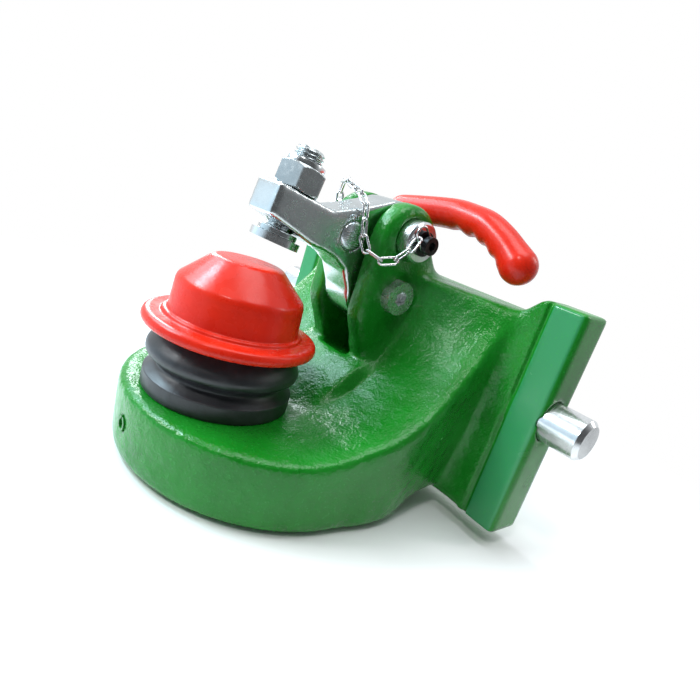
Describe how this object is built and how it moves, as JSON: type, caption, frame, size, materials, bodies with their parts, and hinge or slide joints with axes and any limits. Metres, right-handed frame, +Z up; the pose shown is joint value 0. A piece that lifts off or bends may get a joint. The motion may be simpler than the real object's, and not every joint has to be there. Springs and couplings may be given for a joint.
{
  "type": "tractor ball hitch",
  "caption": "Cast slide-in coupling plate with a ball, rubber bellows and cap, a hinged hold-down arm with pressure screw, a chained locking pin with handle, and sprung side bolts.",
  "frame": {"origin": "centre of the coupling ball", "axes": "+Z up, +Y from the ball to the guide plate, +X across the tractor towards the side that shows the hinge bolt's head"},
  "size_m": [0.365, 0.2683, 0.2297],
  "materials": {
    "green_enamel": "thick glossy green enamel over rough cast steel",
    "ball_steel": "ground and greased",
    "spring_steel": "oiled spring steel",
    "black_rubber": "satin moulded rubber",
    "red_plastic": "glossy orange-red dipped vinyl",
    "zinc_plate": "bright bluish zinc plate",
    "turned_steel": "bright turned steel",
    "black_oxide": "black oxide",
    "bronze": "turned bearing bronze",
    "chain_steel": "bright plated wire"
  },
  "bodies": {
    "plate": {"casting": "green_enamel", "coupling_ball": "ball_steel", "ball_spring_pin": "spring_steel", "bellows": "black_rubber", "ball_cap": "red_plastic", "hinge_bolt": "zinc_plate", "hinge_washer": "zinc_plate", "hinge_nut": "zinc_plate", "safety_chain": "chain_steel", "chain_anchor_screw": "zinc_plate", "bolt_spring_right": "spring_steel", "bolt_spring_left": "spring_steel"},
    "arm": {"hold_down_arm": "zinc_plate", "hinge_bush": "bronze", "arm_cross_pin": "zinc_plate", "lock_nut": "zinc_plate"},
    "screw": {"pressure_screw": "zinc_plate", "pressure_foot": "turned_steel"},
    "pin": {"locking_pin": "turned_steel", "handle_rod": "zinc_plate", "handle_grip": "red_plastic", "pin_end_screw": "black_oxide", "pin_end_washer": "black_oxide"},
    "bolt_right": {"side_bolt_right": "turned_steel", "release_pin_right": "zinc_plate"},
    "bolt_left": {"side_bolt_left": "turned_steel", "release_pin_left": "zinc_plate"}
  },
  "joints": [
    {"name": "arm_swing", "type": "hinge", "parent": "plate", "child": "arm", "pos_m": [0, 0.1055, 0.0437], "axis": [1, 0, 0], "range_deg": [0, 4.5]},
    {"name": "screw_feed", "type": "slide", "parent": "arm", "child": "screw", "axis": [0, -0.1582, -0.9874], "range_m": [0, 0.006]},
    {"name": "pin_pull", "type": "slide", "parent": "plate", "child": "pin", "axis": [-1, 0, 0], "range_m": [0, 0.062], "deforming": ["safety_chain"]},
    {"name": "bolt_right_draw", "type": "slide", "parent": "plate", "child": "bolt_right", "axis": [-1, 0, 0], "range_m": [0, 0.027], "stiffness_N_per_m": 600, "springref_m": -0.03, "deforming": ["bolt_spring_right"]},
    {"name": "bolt_left_draw", "type": "slide", "parent": "plate", "child": "bolt_left", "axis": [1, 0, 0], "range_m": [0, 0.027], "stiffness_N_per_m": 600, "springref_m": -0.03, "deforming": ["bolt_spring_left"]}
  ]
}
